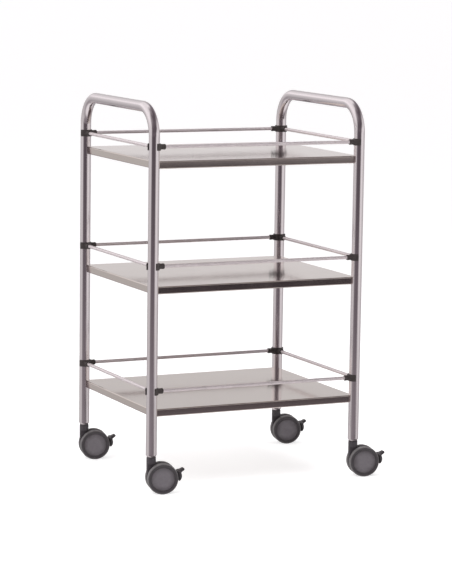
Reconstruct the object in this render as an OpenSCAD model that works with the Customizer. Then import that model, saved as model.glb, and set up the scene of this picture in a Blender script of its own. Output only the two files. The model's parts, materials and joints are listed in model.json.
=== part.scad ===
// Instrument cart: two bent-tube end frames, three flat trays with turned-down rims,
// guard rails in snap-on corner connectors, and four braked twin-wheel swivel casters.
// Millimetres. +Z is up, X runs along the trays, -Y is the front and the floor is z = 0.

/* [Frame] */
// Outside diameter of the frame tube
tube_d = 25; // [24:0.5:28]
// Wall thickness of the frame tube
tube_wall = 1.5; // [1.2:0.1:2]
// Distance between the post axes along the trays
post_span_x = 522; // [400:1:700]
// Distance between the post axes from front to back
post_span_y = 413; // [320:1:500]
// Height of the handle's centreline above the floor
handle_h = 883.5; // [860:0.5:1000]
// Centreline radius of the bends beside the handle
bend_r = 66; // [50:1:80]

/* [Trays] */
// Height of the lower tray's top face
lower_tray_h = 195; // [180:1:220]
// Height of the middle tray's top face
middle_tray_h = 478; // [440:1:520]
// Height of the upper tray's top face
upper_tray_h = 764; // [740:1:780]
// Height of the turned-down rim
rim_h = 18; // [17:0.5:30]
// Sheet thickness of the trays
sheet_t = 1.2; // [0.8:0.1:1.5]
// Width of the flange turned in under the rim
hem_w = 8; // [5:0.5:10]

/* [Guard rails] */
// Height of the lower rail's centreline
lower_rail_h = 237.5; // [225:0.5:260]
// Height of the middle rail's centreline
middle_rail_h = 525; // [505:0.5:560]
// Height of the upper rail's centreline
upper_rail_h = 796.5; // [785:0.5:805]
// Diameter of the rail rods
rod_d = 8; // [6:0.5:9]
// Outside diameter of a connector's rod socket
socket_d = 12.5; // [12:0.5:15]
// Distance from the post axis to a socket's mouth
socket_reach = 27; // [24:0.5:34]
// Height of a connector's clip ring
clip_h = 16; // [13:0.5:20]
// Angle of the clip ring's open side
clip_gap = 110; // [90:1:130]

/* [Casters] */
// Wheel diameter over the tyre
wheel_d = 72; // [70:0.5:76]
// Overall width of the twin wheels
wheel_pair_w = 40; // [38:0.5:46]
// Distance from the swivel axis to the axle
trail = 25; // [24:0.5:28]
// Direction in which the casters trail, from +X towards +Y
heading = -12.5; // [-180:0.5:180]
// Height of the frame tube's lower ends above the floor
tube_bottom_h = 90; // [90:0.5:96]

/* [Hidden] */
$fn = 64;

// Corner name, then its sign along X and along Y
CORNERS = [
    ["front_left", -1, -1],
    ["front_right", 1, -1],
    ["back_left", -1, 1],
    ["back_right", 1, 1],
];
// Level name, height of the tray's top face, height of the rail
LEVELS = [
    ["lower", lower_tray_h, lower_rail_h],
    ["middle", middle_tray_h, middle_rail_h],
    ["upper", upper_tray_h, upper_rail_h],
];
CASTER_PARTS = [
    "stem",
    "housing",
    "axle",
    "brake_pin",
    "brake_pedal",
    "front_wheel",
    "front_tyre",
    "back_wheel",
    "back_tyre",
];

// Colours
steel = "#b9b3b2";
sheet_steel = "#c8c1bf";
black_plastic = "#2b2728";
face_grey = "#6f6a70";
tyre_grey = "#4a4648";
bright_steel = "#d0cccb";

// Frame
tube_r = tube_d / 2;
tube_bore_r = tube_r - tube_wall;
post_x = post_span_x / 2;
post_y = post_span_y / 2;
bend_z = handle_h - bend_r;
bore_overrun = 1;

// Trays and their fixings, measured from a post's axis towards the cart's middle
corner_gap = 0.5;
bolt_below_top = 9.5;
bracket_h = 13;
bracket_t = 2.5;
bracket_flange = 15;
nut_flange_t = 1;
nut_flange_r = 5.5;
nut_sleeve_r = 4.4;
nut_hole_r = 4.5;
nut_bulge_r = 6;
nut_bulge_start = 6.5;
nut_bulge_end = 9;
nut_sleeve_start = 3;
bolt_r = 3;
bolt_tip = 2.5;
bolt_hole_r = 3.3;
bolt_head_r = 5.25;
bolt_head_h = 3.3;
hex_key_r = 2.3;
hex_key_depth = 2;
web_near = tube_r + nut_flange_t;
web_far = web_near + bracket_t;

// Guard rails
rod_r = rod_d / 2;
rod_inset = 16.5;
clip_wall = 2.7;
clip_clearance = 0.05;

// Caster, measured from its swivel axis; u runs along its heading, w along its axle
wheel_r = wheel_d / 2;
neck_r = 10.9;
plug_foot_r = 10;
plug_cone_h = 4.6;
plug_depth = 28;
swivel_gap = 0.5;
neck_top = tube_bottom_h - plug_cone_h - swivel_gap;
neck_above_axle = 34.2;
neck_shoulder = wheel_r + neck_above_axle;
neck_foot = 44;
stem_r = 5;
stem_top = 112;
stem_foot = 60.5;
groove_h = 2;
groove_r = 4.2;
groove_z = 64;
running_gap = 0.06;
web_half = 6.2;
web_r = 34;
web_lowest = 22;
wheel_inner_w = 7;
wheel_outer_w = wheel_pair_w / 2;
axle_r = 4;
axle_half = 15;
hub_r = 8.5;
hub_end_w = 15.4;
face_t = 3;
core_r = 27;
core_rim = 2.5;
core_rim_setback = 1;
face_recess = 1.2;
face_hollow = 1.4;
face_steps = 6;
tyre_lip_r = 31.5;
tyre_outer_round = 4.5;
tyre_inner_round = 2;
pedal_pivot_u = trail + 26;
pedal_pivot_z = wheel_r + 8;
brake_pin_r = 2;
pedal_boss_r = 4.6;
pedal_lug_half = 3;
pedal_slot_half = 3.3;
pedal_slot_near = 19;
pedal_slot_far = 39;
pedal_slot_low = -15;
pedal_slot_high = 24;
pedal_shoe_near = 38.8;
pedal_shoe_centre = [29.5, 5.5];
pedal_shoe_r = 15.2;
pedal_shoe_half = 16.5;
pedal_shoe_low = -6.6;
pedal_shoe_bite = 1;
pedal_tab_half = 9;
pedal_tab_r = 3.5;
pedal_tab_root = [39.1, 13];
pedal_tab_tip = [48.9, 19.2];

// The origin is on the floor in the middle of the cart's overall footprint, so the frame
// stands off-centre by half of what the trailing casters reach past it on one side.
reach_low_x = wheel_r * cos(heading) + wheel_outer_w * abs(sin(heading)) - trail * cos(heading);
reach_high_x = (trail + pedal_tab_tip[0] + pedal_tab_r) * cos(heading) + pedal_tab_half * abs(sin(heading));
reach_y = trail * sin(heading);
shift = [(reach_low_x - reach_high_x) / 2, -reach_y, 0];

// ---------------------------------------------------------------- placing

// Stands at one post's axis
module at_post(corner) {
    translate([corner[1] * post_x, corner[2] * post_y, 0])
        children();
}

// Stands at one post's axis, turned so that +X and +Y both point towards the cart's middle
module in_corner(corner) {
    at_post(corner)
        mirror([corner[1] > 0 ? 1 : 0, 0, 0])
            mirror([0, corner[2] > 0 ? 1 : 0, 0])
                children();
}

// Points +Z along the diagonal from a post towards the cart's middle, at height z
module on_diagonal(z) {
    translate([0, 0, z])
        rotate([0, 90, 45])
            children();
}

// Stands at one caster, with +X along its trail
module at_caster(corner) {
    at_post(corner)
        rotate([0, 0, heading])
            children();
}

// Revolves a radius-by-width outline about a caster's axle, on the front (-1) or back (1) side
module about_axle(side) {
    translate([trail, 0, wheel_r])
        rotate([side > 0 ? -90 : 90, 0, 0])
            rotate_extrude()
                children();
}

// Puts an outline drawn as distance out from and height above the axle into the caster's middle
// plane, and gives it a thickness of twice half
module in_wheel_plane(half) {
    translate([trail, half, wheel_r])
        rotate([90, 0, 0])
            linear_extrude(2 * half)
                children();
}

// ---------------------------------------------------------------- end frames

// The bent tube's route as a solid of diameter d, starting over_run below the tube's end
module tube_route(d, over_run) {
    straight_h = bend_z - tube_bottom_h + over_run;
    for (s = [-1, 1]) {
        translate([0, s * post_y, tube_bottom_h - over_run])
            cylinder(d = d, h = straight_h);
        mirror([0, s < 0 ? 1 : 0, 0])
            translate([0, post_y - bend_r, bend_z])
                rotate([90, 0, 90])
                    rotate_extrude(angle = 90)
                        translate([bend_r, 0])
                            circle(d = d);
    }
    translate([0, bend_r - post_y, handle_h])
        rotate([-90, 0, 0])
            cylinder(d = d, h = post_span_y - 2 * bend_r);
}

// One end frame: two posts and the handle, bent from one tube, drilled for the rivet nuts
module end_frame(side) {
    color(steel)
        difference() {
            translate([side * post_x, 0, 0])
                difference() {
                    tube_route(tube_d, 0);
                    tube_route(2 * tube_bore_r, bore_overrun);
                }
            for (corner = CORNERS)
                if (corner[1] == side)
                    in_corner(corner)
                        for (l = LEVELS)
                            on_diagonal(l[1] - bolt_below_top)
                                cylinder(r = nut_hole_r, h = tube_r + bore_overrun);
        }
}

// Conical plugs pressed into the lower tube ends, bored for the caster stems
module tube_plugs() {
    color(bright_steel)
        for (corner = CORNERS)
            at_post(corner)
                difference() {
                    union() {
                        translate([0, 0, tube_bottom_h])
                            cylinder(r = tube_bore_r, h = plug_depth);
                        translate([0, 0, tube_bottom_h - plug_cone_h])
                            cylinder(r1 = plug_foot_r, r2 = tube_r, h = plug_cone_h);
                    }
                    translate([0, 0, tube_bottom_h - plug_cone_h - bore_overrun])
                        cylinder(r = stem_r, h = plug_depth + plug_cone_h + 2 * bore_overrun);
                }
}

// ---------------------------------------------------------------- trays

// A block the size of a tray less inset all round, from top_z down by h
module tray_block(inset, top_z, h) {
    translate([inset - post_x, inset - post_y, top_z - h])
        cube([post_span_x - 2 * inset, post_span_y - 2 * inset, h]);
}

// A folded tray: flat top, rim turned down and hem turned in, notched round the posts
module tray(level) {
    top_z = level[1];
    hem_inset = sheet_t + hem_w;
    color(sheet_steel)
        difference() {
            tray_block(0, top_z, rim_h);
            tray_block(sheet_t, top_z - sheet_t, rim_h - 2 * sheet_t);
            tray_block(hem_inset, top_z - sheet_t, rim_h);
            for (corner = CORNERS)
                at_post(corner)
                    translate([0, 0, top_z - rim_h - bore_overrun])
                        cylinder(r = tube_r + corner_gap, h = rim_h + 2 * bore_overrun);
        }
}

// Plan of a corner bracket: a web across the corner and a flange along each rim
module bracket_plan() {
    near = web_near * sqrt(2);
    far = web_far * sqrt(2);
    back = sheet_t + bracket_t;
    tip = near + bracket_flange;
    polygon([
        [near - sheet_t, sheet_t],
        [tip, sheet_t],
        [tip, back],
        [far - back, back],
        [back, far - back],
        [back, tip],
        [sheet_t, tip],
        [sheet_t, near - sheet_t],
    ]);
}

// Brackets welded inside the tray corners
module tray_brackets() {
    color(sheet_steel)
        for (corner = CORNERS)
            for (l = LEVELS)
                in_corner(corner)
                    difference() {
                        translate([0, 0, l[1] - bolt_below_top - bracket_h / 2])
                            linear_extrude(bracket_h)
                                bracket_plan();
                        on_diagonal(l[1] - bolt_below_top)
                            cylinder(r = bolt_hole_r, h = web_far + bore_overrun);
                    }
}

// Socket-head bolts through the brackets into the posts
module tray_bolts() {
    color(bright_steel)
        for (corner = CORNERS)
            for (l = LEVELS)
                in_corner(corner)
                    on_diagonal(l[1] - bolt_below_top)
                        difference() {
                            union() {
                                translate([0, 0, bolt_tip])
                                    cylinder(r = bolt_r, h = web_far - bolt_tip);
                                translate([0, 0, web_far])
                                    cylinder(r = bolt_head_r, h = bolt_head_h);
                            }
                            translate([0, 0, web_far + bolt_head_h - hex_key_depth])
                                cylinder(r = hex_key_r, h = hex_key_depth + bore_overrun, $fn = 6);
                        }
}

// Blind rivet nuts in the posts, with the bulge that grips the tube wall from inside
module rivet_nuts() {
    color(bright_steel)
        for (corner = CORNERS)
            for (l = LEVELS)
                in_corner(corner)
                    on_diagonal(l[1] - bolt_below_top)
                        difference() {
                            union() {
                                translate([0, 0, nut_sleeve_start])
                                    cylinder(r = nut_sleeve_r, h = web_near - nut_sleeve_start);
                                translate([0, 0, nut_bulge_start])
                                    cylinder(r = nut_bulge_r, h = nut_bulge_end - nut_bulge_start);
                                translate([0, 0, tube_r])
                                    cylinder(r = nut_flange_r, h = nut_flange_t);
                            }
                            cylinder(r = bolt_r, h = web_near + bore_overrun);
                        }
}

// ---------------------------------------------------------------- guard rails

// A rod between two connectors, along X at the front or back
module long_rod(side, z) {
    color(bright_steel)
        translate([rod_inset - post_x, side * post_y, z])
            rotate([0, 90, 0])
                cylinder(r = rod_r, h = post_span_x - 2 * rod_inset);
}

// A rod between two connectors, along Y at the left or right
module short_rod(side, z) {
    color(bright_steel)
        translate([side * post_x, rod_inset - post_y, z])
            rotate([-90, 0, 0])
                cylinder(r = rod_r, h = post_span_y - 2 * rod_inset);
}

// The wedge cut out of a clip ring on the side that faces away from the cart
module clip_opening() {
    wedge = 2 * (tube_r + clip_wall);
    linear_extrude(clip_h + 2 * bore_overrun)
        polygon([
            [0, 0],
            wedge * [cos(225 - clip_gap / 2), sin(225 - clip_gap / 2)],
            wedge * [-1, -1],
            wedge * [cos(225 + clip_gap / 2), sin(225 + clip_gap / 2)],
        ]);
}

// A corner connector: a C-shaped clip ring that snaps on the post, and a socket for each rod
module connector() {
    ring_r = tube_r + clip_wall;
    difference() {
        union() {
            translate([0, 0, -clip_h / 2])
                cylinder(r = ring_r, h = clip_h);
            rotate([0, 90, 0])
                cylinder(d = socket_d, h = socket_reach);
            rotate([-90, 0, 0])
                cylinder(d = socket_d, h = socket_reach);
        }
        translate([0, 0, -clip_h / 2 - bore_overrun])
            cylinder(r = tube_r + clip_clearance, h = clip_h + 2 * bore_overrun);
        translate([0, 0, -clip_h / 2 - bore_overrun])
            clip_opening();
        for (turn = [[0, 90, 0], [-90, 0, 0]])
            rotate(turn)
                translate([0, 0, rod_inset])
                    cylinder(r = rod_r, h = socket_reach);
    }
}

// The four connectors of one level
module connectors(level) {
    color(black_plastic)
        for (corner = CORNERS)
            in_corner(corner)
                translate([0, 0, level[2]])
                    connector();
}

// ---------------------------------------------------------------- casters

// Threaded stem: screwed into the tube plug, with a snap groove near its foot
module caster_stem() {
    color(bright_steel)
        difference() {
            translate([0, 0, stem_foot])
                cylinder(r = stem_r, h = stem_top - stem_foot);
            translate([0, 0, groove_z])
                difference() {
                    cylinder(r = stem_r + bore_overrun, h = groove_h);
                    cylinder(r = groove_r, h = groove_h);
                }
        }
}

// Housing: the neck that turns on the stem and the web and hood between the wheels
module caster_housing() {
    color(black_plastic)
        difference() {
            union() {
                translate([0, 0, neck_shoulder])
                    cylinder(r = neck_r, h = neck_top - neck_shoulder);
                intersection() {
                    translate([0, 0, neck_foot])
                        cylinder(r = neck_r, h = neck_shoulder - neck_foot);
                    translate([-neck_r, -web_half, neck_foot])
                        cube([2 * neck_r, 2 * web_half, neck_shoulder - neck_foot]);
                }
                intersection() {
                    in_wheel_plane(web_half)
                        circle(r = web_r);
                    translate([trail - web_r, -web_half, web_lowest])
                        cube([2 * web_r, 2 * web_half, 2 * web_r]);
                }
            }
            translate([0, 0, stem_foot - bore_overrun])
                cylinder(r = stem_r + running_gap, h = neck_top);
            in_wheel_plane(web_half + bore_overrun)
                circle(r = axle_r);
            in_wheel_plane(pedal_slot_half)
                translate([pedal_slot_near, pedal_slot_low])
                    square([pedal_slot_far - pedal_slot_near, pedal_slot_high - pedal_slot_low]);
            in_wheel_plane(web_half + bore_overrun)
                translate([pedal_pivot_u - trail, pedal_pivot_z - wheel_r])
                    circle(r = brake_pin_r);
        }
}

// Axle fixed in the housing; each wheel turns on its own end
module caster_axle() {
    color(bright_steel)
        in_wheel_plane(axle_half)
            circle(r = axle_r);
}

// Pin that the brake pedal rocks on
module brake_pin() {
    color(bright_steel)
        in_wheel_plane(web_half)
            translate([pedal_pivot_u - trail, pedal_pivot_z - wheel_r])
                circle(r = brake_pin_r);
}

// Brake pedal: a lug on the pin, a shoe across both wheels and a foot tab
module brake_pedal() {
    pivot = [pedal_pivot_u - trail, pedal_pivot_z - wheel_r];
    tab = pedal_tab_tip - pedal_tab_root;
    color(black_plastic)
        difference() {
            union() {
                in_wheel_plane(pedal_lug_half)
                    translate(pivot)
                        circle(r = pedal_boss_r);
                in_wheel_plane(pedal_lug_half)
                    polygon([
                        pivot + [0, -pedal_boss_r],
                        [pedal_shoe_near + pedal_shoe_bite, 0],
                        [pedal_shoe_near - pedal_shoe_bite, pedal_tab_root[1]],
                        pivot + [0, pedal_boss_r],
                    ]);
                in_wheel_plane(pedal_shoe_half)
                    shoe_outline();
                in_wheel_plane(pedal_tab_half)
                    translate(pedal_tab_root)
                        rotate([0, 0, atan2(tab[1], tab[0])])
                            translate([0, -pedal_tab_r])
                                square([norm(tab), 2 * pedal_tab_r]);
                in_wheel_plane(pedal_tab_half)
                    translate(pedal_tab_tip)
                        circle(r = pedal_tab_r);
            }
            in_wheel_plane(pedal_lug_half + bore_overrun)
                translate(pivot)
                    circle(r = brake_pin_r + running_gap);
        }
}

// Brake shoe: a bulging block, hollowed to the curve of the tyres and level with the tab's top
module shoe_outline() {
    tab = pedal_tab_tip - pedal_tab_root;
    cut = 2 * pedal_shoe_near;
    difference() {
        translate(pedal_shoe_centre)
            circle(r = pedal_shoe_r);
        circle(r = pedal_shoe_near);
        translate([-cut, pedal_shoe_low - cut])
            square([2 * cut, cut]);
        translate(pedal_tab_root)
            rotate([0, 0, atan2(tab[1], tab[0])])
                translate([-cut, pedal_tab_r])
                    square([2 * cut, cut]);
    }
}

// Wheel core: hub, shallow dished outer face set back from the tyre, and rim, hollow inside
module wheel_core(side) {
    face_edge_w = wheel_outer_w - face_recess;
    color(face_grey)
        about_axle(side)
            polygon(concat(
                [
                    [axle_r + running_gap, wheel_inner_w],
                    [hub_r, wheel_inner_w],
                    [hub_r, face_edge_w - face_t],
                    [core_r - core_rim, face_edge_w - face_t],
                    [core_r - core_rim, wheel_inner_w + core_rim_setback],
                    [core_r, wheel_inner_w + core_rim_setback],
                ],
                [
                    for (step = [face_steps:-1:0])
                        let (share = step / face_steps)
                            [core_r * share, face_edge_w - face_hollow * (1 - share * share)]
                ],
                [
                    [0, hub_end_w],
                    [axle_r + running_gap, hub_end_w],
                ]
            ));
}

// Tyre: a ring with a well-rounded outer shoulder and a side that slopes in to the wheel's face
module tyre(side) {
    color(tyre_grey)
        about_axle(side)
            difference() {
                polygon([
                    [core_r, wheel_inner_w],
                    [wheel_r, wheel_inner_w],
                    [wheel_r, wheel_outer_w],
                    [tyre_lip_r, wheel_outer_w],
                    [core_r, wheel_outer_w - face_recess],
                ]);
                shoulder_cut(wheel_outer_w, tyre_outer_round, 1);
                shoulder_cut(wheel_inner_w, tyre_inner_round, -1);
            }
}

// What rounding takes off a tyre's tread corner at width w, on its outer (1) or inner (-1) side
module shoulder_cut(w, round_r, way) {
    centre = [wheel_r - round_r, w - way * round_r];
    difference() {
        translate([centre[0], way > 0 ? centre[1] : centre[1] - 2 * round_r])
            square([2 * round_r, 2 * round_r]);
        translate(centre)
            circle(r = round_r);
    }
}

// ---------------------------------------------------------------- the cart

translate(shift) {
    end_frame(-1);  // left_frame
    end_frame(1);  // right_frame
    tube_plugs();
    tray_brackets();
    tray_bolts();
    rivet_nuts();
    for (l = LEVELS) {
        tray(l);
        connectors(l);
        long_rod(-1, l[2]);
        long_rod(1, l[2]);
        short_rod(-1, l[2]);
        short_rod(1, l[2]);
    }
    for (c = CORNERS)
        at_caster(c) {
            caster_stem();
            caster_housing();
            caster_axle();
            brake_pin();
            brake_pedal();
            wheel_core(-1);
            tyre(-1);
            wheel_core(1);
            tyre(1);
        }
}
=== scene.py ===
"""Looks of the instrument cart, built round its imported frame. Metres, +Z up, -Y is the front."""

import json
import math

import bmesh
import bpy
import numpy as np
from mathutils import Matrix, Vector


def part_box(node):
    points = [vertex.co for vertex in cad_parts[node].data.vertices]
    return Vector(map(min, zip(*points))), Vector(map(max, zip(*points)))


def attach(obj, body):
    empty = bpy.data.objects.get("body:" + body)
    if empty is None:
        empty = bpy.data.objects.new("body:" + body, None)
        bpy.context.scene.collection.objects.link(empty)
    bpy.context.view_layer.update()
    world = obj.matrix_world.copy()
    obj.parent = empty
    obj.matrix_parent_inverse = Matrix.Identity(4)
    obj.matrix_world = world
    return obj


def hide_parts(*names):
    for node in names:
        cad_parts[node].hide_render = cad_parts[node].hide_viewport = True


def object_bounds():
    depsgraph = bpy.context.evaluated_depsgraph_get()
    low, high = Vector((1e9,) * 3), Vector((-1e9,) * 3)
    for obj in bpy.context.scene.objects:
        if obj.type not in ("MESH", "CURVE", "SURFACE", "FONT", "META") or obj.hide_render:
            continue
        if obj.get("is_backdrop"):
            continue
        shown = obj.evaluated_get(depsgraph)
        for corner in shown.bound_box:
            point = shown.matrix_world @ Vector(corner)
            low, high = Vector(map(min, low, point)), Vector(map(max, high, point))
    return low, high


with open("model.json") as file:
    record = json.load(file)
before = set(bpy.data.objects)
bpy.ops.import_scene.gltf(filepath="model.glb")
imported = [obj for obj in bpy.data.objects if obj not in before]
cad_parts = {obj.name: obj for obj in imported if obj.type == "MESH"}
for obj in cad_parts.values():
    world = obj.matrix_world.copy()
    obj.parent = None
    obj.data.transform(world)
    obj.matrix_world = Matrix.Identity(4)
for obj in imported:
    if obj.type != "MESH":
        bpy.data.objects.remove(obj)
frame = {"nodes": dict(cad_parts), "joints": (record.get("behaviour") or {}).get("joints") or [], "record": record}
cad_low, cad_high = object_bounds()
JOINTS = {j["name"]: j for j in frame["joints"]}
SLOTS = {part["node"]: part["material_slot"] for part in frame["record"]["subparts"]}
TAU = 2 * math.pi
MM = 0.001

# Cart: places measured on the frame, and the few sizes that its boxes don't show
LEVELS = ("lower", "middle", "upper")
CORNERS = {
    "front_left": (-1, -1),
    "front_right": (1, -1),
    "back_left": (-1, 1),
    "back_right": (1, 1),
}
SHEET = 1.2 * MM
FOLD_R = 2.4 * MM
HEM = 9.2 * MM
NOTCH_R = 13 * MM
RIM_LEAN = math.tan(math.radians(4.5))
TUBE_WALL = 1.5 * MM
BEND_R = 66 * MM
CLIP_WALL = 2.7 * MM
CLIP_CLEARANCE = 0.05 * MM
CLIP_GAP = math.radians(110)
SOCKET_R = 6.25 * MM
SOCKET_REACH = 27 * MM
ROD_INSET = 16.5 * MM


# ---------------------------------------------------------------- mesh tools


def new_object(name, mesh, material, place=None):
    """An object in the scene for mesh, with one material."""
    obj = bpy.data.objects.new(name, mesh)
    bpy.context.scene.collection.objects.link(obj)
    if not mesh.materials:
        mesh.materials.append(material)
    if place is not None:
        obj.matrix_world = place
    return obj


def finish_mesh(bm, name, crease=35):
    """Turns bm into a smooth-shaded mesh whose edges above crease degrees stay sharp."""
    bmesh.ops.remove_doubles(bm, verts=bm.verts, dist=1e-6)
    bmesh.ops.recalc_face_normals(bm, faces=bm.faces)
    for face in bm.faces:
        face.smooth = True
    limit = math.radians(crease)
    for edge in bm.edges:
        if len(edge.link_faces) == 2:
            edge.smooth = edge.calc_face_angle() < limit
    mesh = bpy.data.meshes.new(name)
    bm.to_mesh(mesh)
    bm.free()
    return mesh


def weigh_normals(obj):
    """Lets the large faces set the shading beside narrow folds and chamfers."""
    weigh = obj.modifiers.new("weighted normals", "WEIGHTED_NORMAL")
    weigh.keep_sharp = True
    weigh.weight = 60
    return obj


def set_grain(mesh, vectors):
    """Stores each vertex's place on the unbent, unfolded stock, which the finishes follow."""
    attribute = mesh.attributes.new("grain", "FLOAT_VECTOR", "POINT")
    attribute.data.foreach_set("vector", np.asarray(vectors, np.float32).ravel())


def arc(centre, radius, start, end, steps):
    """Points on an arc from start to end degrees, both included."""
    return [
        (centre[0] + radius * math.cos(a), centre[1] + radius * math.sin(a))
        for a in np.radians(np.linspace(start, end, steps + 1))
    ]


def lathe(name, profile, segments=96, crease=35):
    """Revolves a closed outline of (radius, height) points about +Z. Stretches of it along the axis,
    where both radii are 0, are left out."""
    bm = bmesh.new()
    rings = []
    for radius, height in profile:
        turns = np.arange(segments if radius > 0 else 1) * TAU / segments
        rings.append([bm.verts.new((radius * math.cos(a), radius * math.sin(a), height)) for a in turns])
    for low, high in zip(rings, rings[1:] + rings[:1]):
        if len(low) == 1 and len(high) == 1:
            continue
        for i in range(segments):
            j = (i + 1) % segments
            corners = [low[i % len(low)], low[j % len(low)], high[j % len(high)], high[i % len(high)]]
            bm.faces.new(list(dict.fromkeys(corners)))
    return finish_mesh(bm, name, crease)


def surface_of(name, field, low, high, step, keep=0.45):
    """Moulded solid: the closed surface where field(points) is zero, negative inside, by surface
    nets on a grid of that step, drawn on to the surface and then thinned to a share of its faces."""
    low, high = np.array(low) - 2 * step, np.array(high) + 2 * step
    axes = [np.arange(low[k], high[k] + step, step) for k in range(3)]
    grid = np.stack(np.meshgrid(*axes, indexing="ij"), -1)
    values = field(grid)
    cells = np.array(values.shape) - 1
    total, count = np.zeros((*cells, 3)), np.zeros(cells)
    crossings = []
    for axis in range(3):
        u, v = (axis + 1) % 3, (axis + 2) % 3
        here = np.take(values, range(cells[axis]), axis)
        there = np.take(values, range(1, cells[axis] + 1), axis)
        crossing = (here < 0) != (there < 0)
        share = np.where(crossing, here / np.where(crossing, here - there, 1), 0)
        point = np.take(grid, range(cells[axis]), axis).copy()
        point[..., axis] += share * step
        for du in (0, 1):
            for dv in (0, 1):
                part = [slice(None)] * 3
                part[u] = slice(du, du + cells[u])
                part[v] = slice(dv, dv + cells[v])
                found = crossing[tuple(part)]
                total += np.where(found[..., None], point[tuple(part)], 0)
                count += found
        crossings.append((axis, u, v, np.argwhere(crossing), here < 0))
    used = count > 0
    index = np.full(cells, -1)
    index[used] = np.arange(used.sum())
    vertices = total[used] / count[used][:, None]
    quads = []
    for axis, u, v, edges, inside in crossings:
        for edge in edges:
            back_u, back_v = edge.copy(), edge.copy()
            back_u[u] -= 1
            back_v[v] -= 1
            both = back_u.copy()
            both[v] -= 1
            quad = [index[tuple(c)] for c in (both, back_v, edge, back_u)]
            quads.append(quad if inside[tuple(edge)] else quad[::-1])
    nudge = step * 0.05
    for _ in range(3):
        value = field(vertices)
        slope = np.stack(
            [
                (field(vertices + nudge * np.eye(3)[k]) - field(vertices - nudge * np.eye(3)[k])) / (2 * nudge)
                for k in range(3)
            ],
            -1,
        )
        steep = np.maximum((slope**2).sum(-1), 0.2)
        move = (value / steep)[..., None] * slope
        vertices -= np.clip(move, -step, step)
    mesh = bpy.data.meshes.new(name)
    mesh.from_pydata(vertices.tolist(), [], quads)
    mesh.update()
    thinned = bpy.data.objects.new(name + "_thinning", mesh)
    bpy.context.scene.collection.objects.link(thinned)
    thin = thinned.modifiers.new("thin", "DECIMATE")
    thin.ratio = keep
    bpy.context.view_layer.update()
    final = bpy.data.meshes.new_from_object(thinned.evaluated_get(bpy.context.evaluated_depsgraph_get()))
    bpy.data.objects.remove(thinned)
    final.name = name
    bm = bmesh.new()
    bm.from_mesh(final)
    for face in bm.faces:
        face.smooth = True
    bm.to_mesh(final)
    bm.free()
    return final


# Distance fields for moulded shapes. Points are arrays whose last axis is x, y, z.


def soft_max(a, b, r):
    """The larger of a and b, rounded over r where they meet."""
    h = np.maximum(r - np.abs(a - b), 0) / r
    return np.maximum(a, b) + h * h * r / 4


def soft_min(a, b, r):
    return -soft_max(-a, -b, r)


def round_bar(p, axis, radius, low, high, edge):
    """A cylinder along an axis from low to high, with rounded ends."""
    u, v = [k for k in range(3) if k != axis]
    side = np.hypot(p[..., u], p[..., v]) - radius
    ends = np.maximum(low - p[..., axis], p[..., axis] - high)
    return soft_max(side, ends, edge)


# ---------------------------------------------------------------- materials


class Nodes:
    """Short calls that add and link shader nodes in one tree."""

    def __init__(self, tree):
        self.tree = tree
        tree.nodes.clear()

    def add(self, kind, inputs=None, **settings):
        node = self.tree.nodes.new("ShaderNode" + kind)
        for key, value in settings.items():
            setattr(node, key, value)
        for key, value in (inputs or {}).items():
            if isinstance(value, bpy.types.NodeSocket):
                self.tree.links.new(value, node.inputs[key])
            else:
                node.inputs[key].default_value = value
        return node

    def scaled(self, vector, scale):
        return self.add("VectorMath", {0: vector, 1: scale}, operation="MULTIPLY").outputs[0]

    def shifted(self, vector, offset):
        return self.add("VectorMath", {0: vector, 1: offset}, operation="ADD").outputs[0]

    def noise(self, vector, scale=1.0, detail=2.0, rough=0.5):
        inputs = {"Vector": vector, "Scale": scale, "Detail": detail, "Roughness": rough}
        return self.add("TexNoise", inputs).outputs["Fac"]

    def math(self, operation, a, b=0.0, c=0.0):
        return self.add("Math", {0: a, 1: b, 2: c}, operation=operation).outputs[0]

    def spread(self, value, low, high, to_low, to_high):
        """Maps value from low..high to to_low..to_high, held at both ends."""
        inputs = {"Value": value, "From Min": low, "From Max": high, "To Min": to_low, "To Max": to_high}
        return self.add("MapRange", inputs).outputs["Result"]

    def mix(self, share, a, b):
        """A colour between a and b."""
        node = self.add("Mix", data_type="RGBA")
        for socket, value in zip((node.inputs[0], node.inputs[6], node.inputs[7]), (share, a, b)):
            if isinstance(value, bpy.types.NodeSocket):
                self.tree.links.new(value, socket)
            else:
                socket.default_value = value
        return node.outputs[2]

    def bump(self, height, distance, strength=1.0, under=None):
        inputs = {"Height": height, "Distance": distance, "Strength": strength}
        if under is not None:
            inputs["Normal"] = under
        return self.add("Bump", inputs).outputs["Normal"]

    def from_axis(self, place):
        """Distance from the piece's own Z axis."""
        across = self.add("VectorMath", {0: place, 1: (1, 1, 0)}, operation="MULTIPLY").outputs[0]
        return self.add("VectorMath", {0: across}, operation="LENGTH").outputs["Value"]

    def surface(self, inputs):
        shader = self.add("BsdfPrincipled", inputs)
        out = self.add("OutputMaterial")
        self.tree.links.new(shader.outputs[0], out.inputs["Surface"])


def colour(r, g, b):
    return (r, g, b, 1.0)


def new_material(name):
    made = bpy.data.materials.new(name)
    made.use_nodes = True
    return made, Nodes(made.node_tree)


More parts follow.
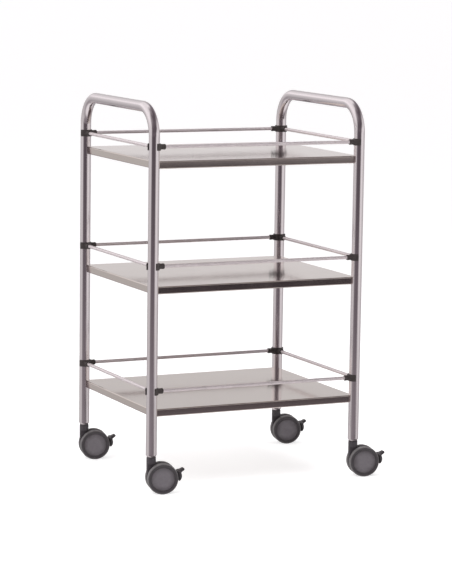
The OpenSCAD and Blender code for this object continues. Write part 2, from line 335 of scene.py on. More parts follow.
def steel(name, tint, roughness, grain, waves=0.0, on_stock=True, smudge=0.04, relief=0.000004, metal=1.0):
    """Stainless steel. grain is how dense the polishing lines are per metre in each direction of the
    stock, relief how deep they are, waves how far the surface swells over a hand's width, smudge
    how much handling dulls it, and metal how mirror-like it is at all."""
    made, n = new_material(name)
    if on_stock:
        place = n.add("Attribute", attribute_name="grain").outputs["Vector"]
    else:
        place = n.add("TexCoord").outputs["Object"]
    lines = n.noise(n.scaled(place, grain), detail=3, rough=0.6)
    coarse = n.noise(n.scaled(place, [g * 0.2 for g in grain]), detail=2)
    cloud = n.noise(place, 9, 4, 0.6)
    marks = n.noise(n.shifted(place, (3.1, 1.7, 0.4)), 31, 3, 0.7)
    scratch = n.noise(n.scaled(place, [g * (0.05 if g > 100 else 4.0) for g in grain]), 1.0, 2, 0.4)
    scratched = n.spread(scratch, 0.69, 0.74, 0, 1)
    dull = n.math("ADD", n.spread(cloud, 0.35, 0.7, 0, smudge), n.spread(marks, 0.55, 0.75, 0, smudge * 0.6))
    rough = n.math("ADD", n.spread(lines, 0.25, 0.75, roughness * 0.8, roughness * 1.25), dull)
    rough = n.math("ADD", rough, n.math("MULTIPLY", scratched, 0.04))
    shade = n.mix(n.spread(lines, 0.3, 0.7, 0, 1), colour(*[c * 0.96 for c in tint]), colour(*tint))
    stained = colour(tint[0] * 0.93, tint[1] * 0.9, tint[2] * 0.87)
    stain = n.mix(n.spread(cloud, 0.45, 0.75, 0, 0.25), shade, stained)
    normal = n.bump(lines, relief, 1.0)
    normal = n.bump(coarse, relief * 2, 1.0, normal)
    if waves:
        normal = n.bump(n.noise(n.scaled(place, (4.5, 7.0, 5.0)), detail=1, rough=0.3), waves, 1.0, normal)
    n.surface({"Base Color": stain, "Metallic": metal, "Roughness": rough, "Normal": normal})
    return made


def moulding(name, tint, worn, roughness, grain=1500.0, depth=0.00004, dust=0.25, turned=None):
    """Moulded plastic: a fine spark-eroded grain, flow marks, and dust in the hollows. turned gives
    the radii between which a round part darkens outwards, and the colour it darkens to. That darkening
    is painted shade, standing in for the shade across a dished wheel face."""
    made, n = new_material(name)
    own = n.add("ObjectInfo").outputs["Random"]
    place = n.add("TexCoord").outputs["Object"]
    moved = n.shifted(place, n.add("CombineXYZ", {"X": own, "Y": own, "Z": own}).outputs[0])
    fine = n.noise(place, grain, 2, 0.6)
    flow = n.noise(moved, 45, 3, 0.6)
    patches = n.noise(moved, 140, 4, 0.7)
    scuff = n.noise(n.scaled(moved, (900, 260, 420)), detail=3, rough=0.7)
    scuffed = n.math("MULTIPLY", n.spread(scuff, 0.62, 0.7, 0, 1), n.spread(flow, 0.5, 0.62, 0, 0.5))
    share = n.math("ADD", n.spread(patches, 0.35, 0.75, 0, dust), scuffed)
    shade = n.mix(share, colour(*tint), colour(*worn))
    # Painted shade: the colour darkens outwards between the turned radii, standing in for the shade across the
    # wheel's dished face.
    if turned:
        radius = n.math("ADD", n.from_axis(place), n.spread(flow, 0.3, 0.7, -0.003, 0.003))
        shade = n.mix(n.spread(radius, turned[0], turned[1], 0, 1), shade, colour(*turned[2]))
    grained = n.spread(fine, 0.2, 0.8, roughness - 0.05, roughness + 0.06)
    rough = n.math("ADD", grained, n.spread(flow, 0.3, 0.7, -0.04, 0.06))
    normal = n.bump(fine, depth, 0.6)
    normal = n.bump(flow, depth * 4, 0.3, normal)
    n.surface({"Base Color": shade, "Roughness": rough, "Normal": normal, "Specular IOR Level": 0.5})
    return made


def tyre_rubber():
    """Grey non-marking rubber: clean smooth side, and a tread dusted and rubbed by rolling."""
    made, n = new_material("tyre_rubber")
    place = n.add("TexCoord").outputs["Object"]
    radius = n.from_axis(place)
    fine = n.noise(place, 1300, 3, 0.65)
    patches = n.noise(place, 110, 4, 0.65)
    tread = n.spread(radius, 0.033, 0.0355, 0, 1)
    dusty = n.math("MULTIPLY", tread, n.spread(patches, 0.3, 0.65, 0.6, 1.0))
    shade = n.mix(n.spread(patches, 0.3, 0.7, 0, 0.25), colour(0.05, 0.044, 0.048), colour(0.075, 0.067, 0.072))
    shade = n.mix(dusty, shade, colour(0.2, 0.192, 0.193))
    rough = n.math("ADD", n.spread(fine, 0.2, 0.8, 0.46, 0.6), n.math("MULTIPLY", tread, 0.12))
    normal = n.bump(fine, 0.00005, 0.6)
    n.surface({"Base Color": shade, "Roughness": rough, "Normal": normal})
    return made


LINE = 2400.0
finishes = {
    "frame_tube": steel("frame_tube", (0.81, 0.76, 0.772), 0.1, (LINE, LINE, 20.0)),
    "rail_rod": steel("rail_rod", (0.80, 0.735, 0.745), 0.26, (LINE * 2, LINE * 2, 30.0), metal=0.65),
    "tray_sheet": steel(
        "tray_sheet", (0.785, 0.72, 0.665), 0.085, (24.0, LINE, LINE), waves=0.0002, relief=0.000002
    ),
    "bracket_sheet": steel("bracket_sheet", (0.66, 0.64, 0.63), 0.32, (60.0, 500.0, 500.0), on_stock=False),
    "fastener_steel": steel("fastener_steel", (0.72, 0.70, 0.68), 0.24, (300.0, 300.0, 300.0), on_stock=False),
    "plug_alloy": steel("plug_alloy", (0.86, 0.80, 0.81), 0.25, (60.0, 60.0, 1800.0), on_stock=False),
    "caster_pin_steel": steel("caster_pin_steel", (0.66, 0.65, 0.64), 0.22, (500.0, 500.0, 500.0), on_stock=False),
    "connector_plastic": moulding("connector_plastic", (0.038, 0.03, 0.029), (0.085, 0.072, 0.07), 0.4),
    "caster_housing_plastic": moulding("caster_housing_plastic", (0.05, 0.043, 0.049), (0.09, 0.08, 0.088), 0.45),
    "brake_pedal_plastic": moulding("brake_pedal_plastic", (0.042, 0.037, 0.041), (0.09, 0.08, 0.088), 0.42),
    "wheel_plastic": moulding(
        "wheel_plastic",
        (0.15, 0.137, 0.15),
        (0.21, 0.195, 0.208),
        0.36,
        dust=0.45,
        # turned: painted shade, the wheel face's colour darkening towards its edge.
        turned=(0.016, 0.028, (0.082, 0.073, 0.079)),
    ),
    "tyre_rubber": tyre_rubber(),
}


def stand_for(obj, body, *nodes):
    """obj rides on body and stands for those CAD nodes, which it hides."""
    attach(obj, body)
    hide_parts(*nodes)
    return obj


# ---------------------------------------------------------------- end frames


def tube_centreline(low, high, radius):
    """Points, directions and run lengths along an end frame's bent tube, front post to back post."""
    x, front, back, top = (low.x + high.x) / 2, low.y + radius, high.y - radius, high.z - radius
    bend_z = top - BEND_R
    points = [(x, front, z) for z in np.linspace(low.z, bend_z, 24)]
    for a in np.radians(np.linspace(0, 90, 33))[1:]:
        points.append((x, front + BEND_R * (1 - math.cos(a)), bend_z + BEND_R * math.sin(a)))
    points += [(x, y, top) for y in np.linspace(front + BEND_R, back - BEND_R, 12)[1:]]
    for a in np.radians(np.linspace(0, 90, 33))[1:]:
        points.append((x, back - BEND_R * (1 - math.sin(a)), bend_z + BEND_R * math.cos(a)))
    points += [(x, back, z) for z in np.linspace(bend_z, low.z, 24)[1:]]
    points = np.array(points)
    step = np.diff(points, axis=0)
    size = np.linalg.norm(step, axis=1)
    step /= size[:, None]
    ahead = np.vstack([step[:1], (step[:-1] + step[1:]) / 2, step[-1:]])
    ahead /= np.linalg.norm(ahead, axis=1)[:, None]
    return points, ahead, np.concatenate([[0], np.cumsum(size)])


def bent_tube(name, low, high, radius, segments=72):
    """The bent tube with its wall, lightly rounded at both cut ends."""
    points, ahead, run = tube_centreline(low, high, radius)
    bore = radius - TUBE_WALL
    lip = 0.35 * MM
    side = np.array([1.0, 0, 0])
    rings = []
    for offset in (0.0, lip):
        wide = radius - (lip if offset == 0 else 0)
        rings.append((points[0] + ahead[0] * offset, ahead[0], wide, run[0] + offset))
    rings += [(points[i], ahead[i], radius, run[i]) for i in range(1, len(points) - 1)]
    for offset in (lip, 0.0):
        wide = radius - (lip if offset == 0 else 0)
        rings.append((points[-1] - ahead[-1] * offset, ahead[-1], wide, run[-1] - offset))
    rings += [(points[i], ahead[i], bore, run[i]) for i in range(len(points) - 1, -1, -1)]
    bm = bmesh.new()
    store = bm.verts.layers.float_vector.new("grain")
    loops = []
    for place, forward, r, along in rings:
        up = np.cross(forward, side)
        loop = []
        for a in np.arange(segments) * TAU / segments:
            vert = bm.verts.new(place + r * (math.cos(a) * side + math.sin(a) * up))
            vert[store] = (r * math.cos(a), r * math.sin(a), along)
            loop.append(vert)
        loops.append(loop)
    for one, two in zip(loops, loops[1:] + loops[:1]):
        for i in range(segments):
            j = (i + 1) % segments
            bm.faces.new((one[i], one[j], two[j], two[i]))
    return finish_mesh(bm, name)


post_places = {}
for end, side in (("left", -1), ("right", 1)):
    node = f"{end}_frame"
    low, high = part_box(node)
    tube_r = (high.x - low.x) / 2
    mesh = bent_tube(node, low, high, tube_r)
    stand_for(new_object(f"{end}_end_frame", mesh, finishes["frame_tube"]), "frame", node)
    for corner, (sx, sy) in CORNERS.items():
        if sx == side:
            post_y = low.y + tube_r if sy < 0 else high.y - tube_r
            post_places[corner] = Vector(((low.x + high.x) / 2, post_y, low.z))


def tube_plug():
    """A turned plug: the cone below the tube's end, with a fine shoulder line, bored for the stem."""
    depth, cone = 28 * MM, 4.6 * MM
    bore, foot, inner = 5 * MM, 10 * MM, tube_r - TUBE_WALL
    profile = [(bore, -cone), (foot - 0.5 * MM, -cone)]
    profile += arc((foot - 0.5 * MM, -cone + 0.5 * MM), 0.5 * MM, -90, -28, 4)
    profile += [(tube_r - 0.9 * MM, -0.9 * MM)]
    profile += arc((tube_r - 0.9 * MM, -0.45 * MM), 0.45 * MM, -30, 90, 5)
    profile += [(inner, 0), (inner, depth - 0.6 * MM), (inner - 0.6 * MM, depth), (bore, depth)]
    return lathe("tube_plug", profile)


plug_mesh = tube_plug()
for corner, place in post_places.items():
    plug = new_object(f"{corner}_tube_plug", plug_mesh, finishes["plug_alloy"], Matrix.Translation(place))
    stand_for(plug, "frame", "tube_plugs")


# ---------------------------------------------------------------- trays


def tray_mesh(name, low, high):
    """A folded sheet tray: flat top, rim turned down and hem turned in on rounded folds, with each
    corner let in round its post."""
    height = high.z - low.z
    inner_fold = FOLD_R - SHEET
    top_bend, hem_bend = (FOLD_R, -FOLD_R), (FOLD_R, FOLD_R - height)
    outer = arc(top_bend, FOLD_R, 90, 180, 8) + arc(hem_bend, FOLD_R, 180, 270, 8)
    inner = arc(top_bend, inner_fold, 90, 180, 8) + arc(hem_bend, inner_fold, 180, 270, 8)
    outer.append((HEM, -height))
    inner.append((HEM, SHEET - height))
    outer, inner = [[(d + RIM_LEAN * max(-z - FOLD_R, 0), z) for d, z in line] for line in (outer, inner)]
    lengths = np.concatenate([[0], np.cumsum([math.dist(a, b) for a, b in zip(outer, outer[1:])])])
    size = (high.x - low.x, high.y - low.y)
    middle = Vector(((low.x + high.x) / 2, (low.y + high.y) / 2, high.z))
    bm = bmesh.new()
    store = bm.verts.layers.float_vector.new("grain")

    def point(x, y, z, flat):
        vert = bm.verts.new(middle + Vector((x, y, z)))
        vert[store] = flat
        return vert

    def along(inset):
        return math.sqrt(NOTCH_R**2 - inset**2)

    for turn in range(4):
        length, width = (size[0], size[1]) if turn % 2 == 0 else (size[1], size[0])
        c, s = round(math.cos(turn * TAU / 4)), round(math.sin(turn * TAU / 4))

        def strip(d, z, end, run):
            x, y = end * (length / 2 - along(d)), d - width / 2
            fx, fy = end * (length / 2 - along(d)), FOLD_R - width / 2 - run
            return point(c * x - s * y, s * x + c * y, z, (c * fx - s * fy, s * fx + c * fy, 0))

        rows = [
            [
                (strip(d, z, end, run), strip(e, w, end, run))
                for (d, z), (e, w), run in zip(outer, inner, lengths)
            ]
            for end in (-1, 1)
        ]
        left, right = rows
        for i in range(len(outer) - 1):
            (a, b), (e, f) = left[i], left[i + 1]
            (g, h), (p, q) = right[i], right[i + 1]
            for corners in ((a, g, p, e), (b, f, q, h), (a, e, f, b), (g, h, q, p)):
                bm.faces.new(corners)
        (a, b), (g, h) = left[-1], right[-1]
        bm.faces.new((a, g, h, b))
    for z, flip in ((0, False), (-SHEET, True)):
        ring = []
        for turn in range(4):
            c, s = round(math.cos(turn * TAU / 4)), round(math.sin(turn * TAU / 4))
            length, width = (size[0], size[1]) if turn % 2 == 0 else (size[1], size[0])
            start = math.degrees(math.asin(FOLD_R / NOTCH_R))
            for px, py in arc((length / 2, -width / 2), NOTCH_R, 180 - start, 90 + start, 14):
                x, y = c * px - s * py, s * px + c * py
                ring.append(point(x, y, z, (x, y, 0)))
        face = bm.faces.new(ring[::-1] if flip else ring)
        if not flip:
            top_ring = ring
        else:
            for i in range(len(ring)):
                j = (i + 1) % len(ring)
                same_notch = i // 15 == j // 15
                if same_notch:
                    bm.faces.new((top_ring[i], top_ring[j], ring[j], ring[i]))
    return finish_mesh(bm, name, 40)


for level in LEVELS:
    node = f"{level}_tray"
    mesh = tray_mesh(node, *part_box(node))
    tray = new_object(f"{level}_shelf", mesh, finishes["tray_sheet"])
    weigh_normals(tray)
    stand_for(tray, "frame", node)


# ---------------------------------------------------------------- guard rails


def rod_mesh(name, radius, length):
    """A drawn rod about +Z, with chamfered ends."""
    chamfer = 0.5 * MM
    half = length / 2
    profile = [(0, -half), (radius - chamfer, -half), (radius, chamfer - half)]
    profile += [(radius, z) for z in np.linspace(chamfer - half, half - chamfer, 9)[1:-1]]
    profile += [(radius, half - chamfer), (radius - chamfer, half), (0, half)]
    mesh = lathe(name, profile, 48)
    set_grain(mesh, [tuple(v.co) for v in mesh.vertices])
    return mesh


def connector_field(ring_h, rod_r):
    """A corner connector about its post: C-shaped clip ring, and rod sockets along +X and +Y."""
    ring_r = tube_r + CLIP_WALL
    post_r = tube_r + CLIP_CLEARANCE

    def field(p):
        x, y, z = p[..., 0], p[..., 1], p[..., 2]
        r = np.hypot(x, y)
        ring = soft_max(r - ring_r, np.abs(z) - ring_h / 2, 1.4 * MM)
        angle = np.abs(np.angle(np.exp(1j * (np.arctan2(y, x) - math.radians(225)))))
        mouth = r * np.sin(np.clip(CLIP_GAP / 2 - angle, -1.2, 1.2))
        ring = soft_max(ring, mouth, 1.6 * MM)
        sockets = None
        for axis in (0, 1):
            bar = round_bar(p, axis, SOCKET_R, 4 * MM, SOCKET_REACH, 1.3 * MM)
            start, end = SOCKET_REACH - 4.2 * MM, SOCKET_REACH - 1.4 * MM
            collar = round_bar(p, axis, SOCKET_R + 0.35 * MM, start, end, 0.8 * MM)
            bar = soft_min(bar, collar, 0.5 * MM)
            sockets = bar if sockets is None else soft_min(sockets, bar, 2.2 * MM)
        body = soft_min(ring, sockets, 2.0 * MM)
        body = soft_max(body, post_r - r, 0.5 * MM)
        for axis in (0, 1):
            hole = round_bar(p, axis, rod_r, ROD_INSET, SOCKET_REACH + 9 * MM, 0.3 * MM)
            body = soft_max(body, -hole, 0.6 * MM)
        return body

    return field


rod_meshes = {}
connector_mesh = None
for level in LEVELS:
    for side in ("front", "back", "left", "right"):
        node = f"{level}_{side}_rod"
        low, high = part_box(node)
        centre = (low + high) / 2
        along_x = side in ("front", "back")
        if along_x not in rod_meshes:
            length = (high - low)[0 if along_x else 1]
            rod_name = "long_rod" if along_x else "short_rod"
            rod_meshes[along_x] = rod_mesh(rod_name, (high.z - low.z) / 2, length)
        turn = Matrix.Rotation(TAU / 4, 4, "Y" if along_x else "X")
        place = Matrix.Translation(centre) @ turn
        rod = new_object(f"{level}_{side}_rail", rod_meshes[along_x], finishes["rail_rod"], place)
        stand_for(rod, "frame", node)
    node = f"{level}_connectors"
    low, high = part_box(node)
    if connector_mesh is None:
        rod_low, rod_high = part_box(f"{level}_front_rod")
        reach = (tube_r + CLIP_WALL, SOCKET_REACH)
        ring_h = high.z - low.z
        connector_mesh = surface_of(
            "corner_connector",
            connector_field(ring_h, (rod_high.z - rod_low.z) / 2),
            (-reach[0], -reach[0], -ring_h / 2),
            (reach[1], reach[1], ring_h / 2),
            0.5 * MM,
        )
    for corner, (sx, sy) in CORNERS.items():
        place = Vector((post_places[corner].x, post_places[corner].y, (low.z + high.z) / 2))
        turn = {(-1, -1): 0, (1, -1): 1, (1, 1): 2, (-1, 1): 3}[(sx, sy)]
        matrix = Matrix.Translation(place) @ Matrix.Rotation(turn * TAU / 4, 4, "Z")
        piece = new_object(f"{level}_{corner}_connector", connector_mesh, finishes["connector_plastic"], matrix)
        stand_for(piece, "frame", node)


# ---------------------------------------------------------------- casters

first = JOINTS["front_left_caster_front_wheel_spin"]
swivel = JOINTS["front_left_caster_swivel"]
brake = JOINTS["front_left_caster_brake"]
TRAIL = (Vector(first["pos_m"]).xy - Vector(swivel["pos_m"]).xy).length
WHEEL_R = first["pos_m"][2]
AXLE_W = Vector(first["axis"])
HEADING = Vector((AXLE_W.y, -AXLE_W.x, 0))
NECK_R = 10.9 * MM
NECK_TOP = post_places["front_left"].z - 5.1 * MM
NECK_ROUND_Z = WHEEL_R + 34.2 * MM
NECK_FOOT = 44 * MM
WEB_HALF = 6.2 * MM
WEB_R = 34 * MM
WEB_LOWEST = 22 * MM
INNER_W, OUTER_W = 7 * MM, 20 * MM
CORE_R = 27 * MM
AXLE_R = 4 * MM
PIN_R = 2 * MM
RUNNING_GAP = 0.06 * MM
PIVOT = ((Vector(brake["pos_m"]).xy - Vector(first["pos_m"]).xy).length, brake["pos_m"][2] - WHEEL_R)
STEM_R, STEM_FOOT = 5 * MM, 60.5 * MM


def housing_field(p):
    """Neck that turns on the stem, running down into the web and hood between the wheels. Points are
    measured from the swivel axis on the floor: u along the trail, w along the axle, z up."""
    u, w, z = p[..., 0] - TRAIL, p[..., 1], p[..., 2] - WHEEL_R
    r = np.hypot(p[..., 0], w)
    neck = soft_max(r - NECK_R, np.maximum(p[..., 2] - NECK_TOP, NECK_FOOT - p[..., 2]), 1.2 * MM)
    flats = np.where(p[..., 2] < NECK_ROUND_Z, np.abs(w) - WEB_HALF, -NECK_R)
    neck = np.maximum(neck, flats)
    rim = np.hypot(u, z)
    web = soft_max(rim - WEB_R, np.abs(w) - WEB_HALF, 1.2 * MM)
    web = soft_max(web, WEB_LOWEST - p[..., 2], 1.2 * MM)
    body = soft_min(neck, web, 2.5 * MM)
    body = np.maximum(body, flats)
    stem = np.maximum(r - STEM_R - RUNNING_GAP, STEM_FOOT - 1 * MM - p[..., 2])
    body = soft_max(body, -stem, 0.4 * MM)
    body = soft_max(body, AXLE_R - rim, 0.3 * MM)
    slot = np.maximum(np.abs(w) - 3.3 * MM, np.maximum(19 * MM - u, np.maximum(-15 * MM - z, z - 24 * MM)))
    body = soft_max(body, -slot, 0.6 * MM)
    return np.maximum(body, PIN_R - np.hypot(u - PIVOT[0], z - PIVOT[1]))


SHOE_CENTRE = (29.5 * MM, 5.5 * MM)
SHOE_R = 15.2 * MM
SHOE_NEAR = 38.8 * MM
SHOE_HALF = 16.5 * MM
SHOE_LOW = -6.6 * MM
TAB_ROOT = (39.1 * MM, 13 * MM)
TAB_TIP = (48.9 * MM, 19.2 * MM)
TAB_R = 3.5 * MM
TAB_HALF = 9 * MM
ARM_TIP = (41 * MM, 7 * MM)


def between(u, z, start, end):
    """How far along the line from start to end each point is, its length, and the distance from it."""
    run = np.array(end) - np.array(start)
    size = np.hypot(*run)
    along = ((u - start[0]) * run[0] + (z - start[1]) * run[1]) / size
    above = ((z - start[1]) * run[0] - (u - start[0]) * run[1]) / size
    return along, above, size, np.hypot(along - np.clip(along, 0, size), above)


def pedal_field(p):
    """Brake pedal, measured from the axle: lug on the pin, shoe over both treads, ribbed foot tab."""
    u, w, z = p[..., 0], p[..., 1], p[..., 2]
    along, above, size, away = between(u, z, TAB_ROOT, TAB_TIP)
    shoe = np.hypot(u - SHOE_CENTRE[0], z - SHOE_CENTRE[1]) - SHOE_R
    shoe = soft_max(shoe, above - TAB_R, 1.2 * MM)
    shoe = soft_max(shoe, SHOE_NEAR - np.hypot(u, z), 1.0 * MM)
    shoe = soft_max(shoe, SHOE_LOW - z, 0.8 * MM)
    shoe = soft_max(shoe, np.abs(w) - SHOE_HALF, 2.4 * MM)
    ribs = np.cos(np.clip((along - 0.55 * size) / (1.3 * MM), -1.5, 1.5) * TAU)
    ribbed = (above > 0) & (np.abs(w) < TAB_HALF - 2.2 * MM)
    tab = away - TAB_R + np.where(ribbed, 0.25 * MM * (1 - ribs), 0)
    tab = soft_max(tab, np.abs(w) - TAB_HALF + 1.2 * MM * np.clip(along / size, 0, 1), 3 * MM)
    arm = between(u, z, PIVOT, ARM_TIP)[3] - 4.4 * MM
    arm = soft_max(arm, np.abs(w) - 3 * MM, 0.5 * MM)
    body = soft_min(soft_min(shoe, tab, 4 * MM), arm, 0.8 * MM)
    return np.maximum(body, PIN_R + RUNNING_GAP - np.hypot(u - PIVOT[0], z - PIVOT[1]))


def wheel_core():
    """Wheel core about +Z: hub, rim, and a shallow dished face with a soft raised edge."""
    face_edge, hollow, thick = 18.8 * MM, 2.0 * MM, 3 * MM
    bore, hub, hub_end = AXLE_R + RUNNING_GAP, 8.5 * MM, 15.4 * MM
    inside, roll = CORE_R - 2.5 * MM, 1.4 * MM
    profile = [(bore, INNER_W), (hub, INNER_W), (hub, face_edge - thick), (inside, face_edge - thick)]
    profile += [(inside, INNER_W + 1 * MM), (CORE_R, INNER_W + 1 * MM), (CORE_R, face_edge - roll)]
    profile += arc((CORE_R - roll, face_edge - roll), roll, 10, 84, 8)
    face_r = CORE_R - roll - 0.3 * MM
    for share in np.linspace(1, 0, 19):
        profile.append((face_r * share, face_edge - 0.05 * MM - hollow * (1 - share**2.4)))
    profile += [(0, hub_end), (bore, hub_end)]
    return lathe("wheel_core", profile, 96, 50)


def tyre_ring():
    """Tyre about +Z: rounded outer shoulder, side sloping in to the wheel's face, a parting line."""
    lip = 31.5 * MM
    profile = [(CORE_R, INNER_W), (WHEEL_R - 2 * MM, INNER_W)]
    profile += arc((WHEEL_R - 2 * MM, INNER_W + 2 * MM), 2 * MM, -90, 0, 6)[1:]
    seam = (INNER_W + OUTER_W) / 2 - 1 * MM
    profile += [(WHEEL_R, seam - 0.3 * MM), (WHEEL_R - 0.15 * MM, seam), (WHEEL_R, seam + 0.3 * MM)]
    profile += arc((WHEEL_R - 4.5 * MM, OUTER_W - 4.5 * MM), 4.5 * MM, 0, 90, 12)
    profile += arc((lip - 0.1 * MM, OUTER_W - 1.2 * MM), 1.2 * MM, 90, 112, 3)
    profile += [(CORE_R + 1 * MM, OUTER_W - 1.9 * MM), (CORE_R, OUTER_W - 2.1 * MM)]
    return lathe("tyre", profile, 128, 30)


caster_meshes = {
    "housing": surface_of(
        "caster_housing",
        housing_field,
        (-NECK_R - 1 * MM, -NECK_R, WEB_LOWEST),
        (TRAIL + WEB_R, NECK_R, NECK_TOP),
        0.6 * MM,
    ),
    "pedal": surface_of(
        "brake_pedal",
        pedal_field,
        (PIVOT[0] - 5 * MM, -SHOE_HALF, -9 * MM),
        (TAB_TIP[0] + TAB_R, SHOE_HALF, TAB_TIP[1] + TAB_R),
        0.5 * MM,
    ),
    "wheel": wheel_core(),
    "tyre": tyre_ring(),
}

for corner in CORNERS:
    body = f"{corner}_caster"
    origin = Vector(JOINTS[f"{body}_swivel"]["pos_m"])
    axle = Vector(JOINTS[f"{body}_front_wheel_spin"]["pos_m"])
    turned = Matrix((HEADING, AXLE_W, Vector((0, 0, 1)))).transposed().to_4x4()
    on_floor = Matrix.Translation((origin.x, origin.y, 0)) @ turned
    on_axle = Matrix.Translation(axle) @ turned
    hood_finish = finishes["caster_housing_plastic"]
    housing = new_object(f"{body}_neck_and_hood", caster_meshes["housing"], hood_finish, on_floor)
    stand_for(housing, body, f"{body}_housing")
    pedal = new_object(f"{body}_foot_brake", caster_meshes["pedal"], finishes["brake_pedal_plastic"], on_axle)
    stand_for(pedal, f"{body}_pedal", f"{body}_brake_pedal")
    for side, way in (("front", 1), ("back", -1)):
        wheel_body = f"{body}_{side}_wheel"
        outward = on_axle @ Matrix.Rotation(way * TAU / 4, 4, "X")
        core = new_object(f"{wheel_body}_disc", caster_meshes["wheel"], finishes["wheel_plastic"], outward)
        stand_for(core, wheel_body, wheel_body)
        tread = new_object(f"{wheel_body}_tread", caster_meshes["tyre"], finishes["tyre_rubber"], outward)
        stand_for(tread, wheel_body, f"{body}_{side}_tyre")


# ---------------------------------------------------------------- carried-over CAD nodes

shown = [o for o in frame["nodes"].values() if not o.hide_render]
for obj in shown:
    obj.data.materials.clear()
    obj.data.materials.append(finishes[SLOTS[obj.name]])


# ---------------------------------------------------------------- studio

# Brightness of the room: for each elevation in degrees, stops of compass angle and brightness.
# Angle 0 is the front, 90 the right and -90 the left. Set for the reflections in the
# reference view, so it says nothing about the cart itself.
ROOM = (
    (-75, ((-180, 0.92), (180, 0.92))),
    (-52, ((-180, 0.88), (-60, 0.85), (60, 0.85), (180, 0.88))),
    (-38, ((-180, 0.4), (-100, 0.5), (-50, 0.34), (60, 0.34), (100, 0.46), (180, 0.4))),
    (-26, (
        (-180, 0.5), (-158, 0.48), (-146, 0.38), (-115, 0.58), (-75, 0.6), (-60, 0.3), (0, 0.2),
        (45, 0.2), (70, 0.5), (120, 0.45), (180, 0.38),
    )),
    (-21, (
        (-180, 0.5), (-164, 0.48), (-155, 0.32), (-120, 0.6), (-88, 0.62), (-64, 0.3), (5, 0.2),
        (20, 0.16), (32, 0.2), (42, 0.5), (75, 0.55), (105, 0.45), (180, 0.38),
    )),
    (-17, (
        (-180, 0.4), (-155, 0.29), (-120, 0.62), (-88, 0.64), (-64, 0.3), (5, 0.12), (14, 0.04),
        (36, 0.05), (44, 0.5), (75, 0.58), (105, 0.45), (180, 0.4),
    )),
    (-14, (
        (-180, 0.46), (-155, 0.42), (-120, 0.64), (-88, 0.64), (-64, 0.3), (2, 0.16), (14, 0.03),
        (26, 0.04), (34, 0.1), (44, 0.6), (75, 0.6), (105, 0.45), (180, 0.42),
    )),
    (-11.5, (
        (-180, 0.48), (-155, 0.43), (-120, 0.64), (-88, 0.62), (-64, 0.3), (0, 0.28), (10, 0.22),
        (20, 0.28), (34, 0.4), (46, 0.7), (75, 0.6), (105, 0.45), (180, 0.48),
    )),
    (-8, (
        (-180, 0.52), (-155, 0.47), (-120, 0.64), (-88, 0.62), (-66, 0.16), (-25, 0.13),
        (0, 0.15), (6, 0.2), (22, 0.8), (40, 0.88), (75, 0.66), (105, 0.45), (130, 0.45),
        (155, 0.5), (180, 0.52),
    )),
    (-4, (
        (-180, 0.54), (-155, 0.58), (-120, 0.74), (-88, 0.72), (-66, 0.13), (-45, 0.09),
        (-10, 0.09), (5, 0.16), (20, 0.78), (40, 0.9), (75, 0.72), (105, 0.45), (130, 0.45),
        (155, 0.5), (180, 0.54),
    )),
    (2, (
        (-180, 0.6), (-155, 0.74), (-120, 0.8), (-85, 0.74), (-64, 0.14), (10, 0.14), (25, 0.75),
        (60, 0.95), (105, 0.5), (130, 0.6), (155, 0.72), (180, 0.6),
    )),
    (6, (
        (-180, 0.7), (-155, 0.9), (-120, 0.8), (-85, 0.74), (-62, 0.15), (11, 0.15), (25, 0.8),
        (60, 0.95), (110, 0.6), (135, 0.76), (155, 0.8), (168, 0.72), (180, 0.7),
    )),
    (9, (
        (-180, 0.78), (-155, 0.98), (-120, 0.82), (-82, 0.72), (-60, 0.14), (12, 0.14),
        (26, 0.78), (60, 0.9), (105, 0.65), (130, 0.64), (152, 0.67), (162, 0.65), (180, 0.78),
    )),
    (14, (
        (-180, 0.8), (-168, 0.95), (-155, 1.1), (-140, 1.05), (-120, 0.95), (-80, 0.75),
        (-58, 0.12), (16, 0.12), (32, 0.6), (60, 0.85), (100, 0.7), (130, 0.56), (160, 0.56),
        (172, 0.68), (180, 0.8),
    )),
    (24, (
        (-180, 0.76), (-170, 0.92), (-155, 1.1), (-100, 1.05), (-78, 0.8), (-55, 0.15), (10, 0.1),
        (36, 0.16), (52, 0.7), (80, 0.8), (100, 0.3), (135, 0.24), (155, 0.5), (166, 0.6),
        (180, 0.76),
    )),
    (45, (
        (-180, 0.95), (-150, 1.05), (-95, 1.0), (-65, 0.4), (-20, 0.16), (60, 0.12), (130, 0.18),
        (152, 0.6), (180, 0.95),
    )),
    (66, (
        (-180, 1.0), (-120, 1.0), (-90, 0.8), (-60, 0.25), (0, 0.12), (90, 0.12), (125, 0.3),
        (150, 0.9), (180, 1.0),
    )),
    (84, ((-180, 0.3), (180, 0.3))),
)


def room_tone(bright):
    """The room's darker parts are faintly purple."""
    pale = min(bright / 0.5, 1)
    return colour(bright, bright * (0.79 + 0.175 * pale), bright * (0.93 + 0.05 * pale))


def studio():
    """A pale room that is dark in front and overhead to the right, so that the tubes show a dark band."""
    world = bpy.data.worlds.new("studio")
    bpy.context.scene.world = world
    world.use_nodes = True
    n = Nodes(world.node_tree)
    way = n.add("SeparateXYZ", {0: n.add("TexCoord").outputs["Generated"]})
    angle = n.math("ARCTAN2", way.outputs["X"], n.math("MULTIPLY", way.outputs["Y"], -1.0))
    turn = n.math("MULTIPLY_ADD", angle, 1 / TAU, 0.5)
    height = n.math("ARCSINE", way.outputs["Z"])
    room, last = None, None
    for elevation, stops in ROOM:
        ramp = n.add("ValToRGB", {"Fac": turn})
        ramp.color_ramp.interpolation = "EASE"
        made = ramp.color_ramp.elements
        for (degrees, bright), stop in zip(stops, [made[0], made[1]] + [made.new(0.5) for _ in stops[2:]]):
            stop.position = degrees / 360 + 0.5
            stop.color = room_tone(bright)
        if room is None:
            room = ramp.outputs["Color"]
        else:
            share = n.spread(height, math.radians(last), math.radians(elevation), 0, 1)
            room = n.mix(share, room, ramp.outputs["Color"])
        last = elevation
    background = n.add("Background", {"Color": room, "Strength": 1.0})
    out = n.add("OutputWorld")
    world.node_tree.links.new(background.outputs[0], out.inputs["Surface"])


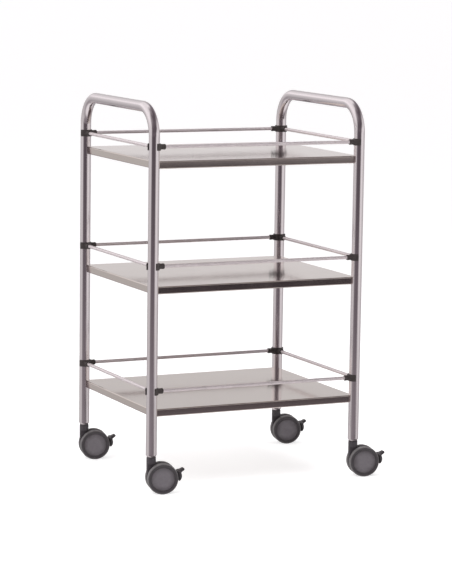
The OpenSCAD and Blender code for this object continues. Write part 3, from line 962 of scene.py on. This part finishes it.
def floor_and_backdrop(size=60.0, height=40.0):
    """A pale floor, and far behind it a pale backdrop, neither of which the metal mirrors."""
    made, n = new_material("studio_floor")
    place = n.add("TexCoord").outputs["Object"]
    tone = n.mix(n.noise(place, 2.5, 4, 0.6), colour(0.60, 0.60, 0.60), colour(0.63, 0.63, 0.63))
    n.surface({"Base Color": tone, "Roughness": 0.8, "Emission Color": colour(1, 1, 1), "Emission Strength": 0.68})
    bm = bmesh.new()
    bmesh.ops.create_circle(bm, cap_ends=True, segments=96, radius=size)
    mesh = bpy.data.meshes.new("studio_floor")
    bm.to_mesh(mesh)
    bm.free()
    floor = new_object("studio_floor", mesh, made)
    floor.visible_glossy = False
    floor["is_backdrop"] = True
    white, n = new_material("studio_backdrop")
    n.surface({"Base Color": colour(0.9, 0.9, 0.9), "Emission Color": colour(1, 1, 1), "Emission Strength": 1.0})
    bm = bmesh.new()
    low, high = [], []
    for a in np.arange(96) * TAU / 96:
        low.append(bm.verts.new((size * 0.98 * math.cos(a), size * 0.98 * math.sin(a), -1)))
        high.append(bm.verts.new((size * 0.98 * math.cos(a), size * 0.98 * math.sin(a), height)))
    for i in range(96):
        j = (i + 1) % 96
        bm.faces.new((low[i], low[j], high[j], high[i]))
    mesh = bpy.data.meshes.new("studio_backdrop")
    bm.to_mesh(mesh)
    bm.free()
    wall = new_object("studio_backdrop", mesh, white)
    for ray in ("diffuse", "glossy", "transmission", "shadow"):
        setattr(wall, f"visible_{ray}", False)
    wall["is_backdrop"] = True


def soft_light(name, place, aim, size, power):
    data = bpy.data.lights.new(name, "AREA")
    data.shape = "DISK"
    data.size = size
    data.energy = power
    lamp = bpy.data.objects.new(name, data)
    bpy.context.scene.collection.objects.link(lamp)
    lamp.location = place
    lamp.rotation_euler = (Vector(aim) - Vector(place)).to_track_quat("-Z", "Y").to_euler()
    lamp.visible_glossy = False
    return lamp


AZIMUTH, ELEVATION, ROLL = map(math.radians, (-25.15, 8.18, 0.81))
DISTANCE = 5.9417
LENS = 153.2
AIM = Vector((0.0179, -0.0028, -0.0223))


def camera():
    """Stands to the left of the front, a little above the cart's middle, and looks at it."""
    low, high = cad_low, cad_high
    forward = Vector((
        -math.sin(AZIMUTH) * math.cos(ELEVATION),
        math.cos(AZIMUTH) * math.cos(ELEVATION),
        -math.sin(ELEVATION),
    ))
    right = Vector((math.cos(AZIMUTH), math.sin(AZIMUTH), 0))
    up = right.cross(forward)
    x_axis = math.cos(ROLL) * right + math.sin(ROLL) * up
    y_axis = math.cos(ROLL) * up - math.sin(ROLL) * right
    data = bpy.data.cameras.new("camera")
    data.lens = LENS
    data.clip_end = 200
    obj = bpy.data.objects.new("camera", data)
    bpy.context.scene.collection.objects.link(obj)
    posts = sum(post_places.values(), Vector((0, 0, 0))) / len(post_places)
    target = Vector((posts.x, posts.y, (low.z + high.z) / 2)) + AIM
    place = target - forward * DISTANCE
    obj.matrix_world = Matrix.Translation(place) @ Matrix((x_axis, y_axis, -forward)).transposed().to_4x4()
    bpy.context.scene.camera = obj


studio()
floor_and_backdrop()
soft_light("key", (-2.6, -1.9, 3.4), (0, 0, 0.4), 1.8, 78)
soft_light("top", (0.6, -0.6, 3.6), (0, 0, 0.4), 2.6, 60)
camera()
view = bpy.context.scene.view_settings
view.view_transform = "Standard"
view.look = "None"
bpy.context.scene.cycles.use_denoising = True

low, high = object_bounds()
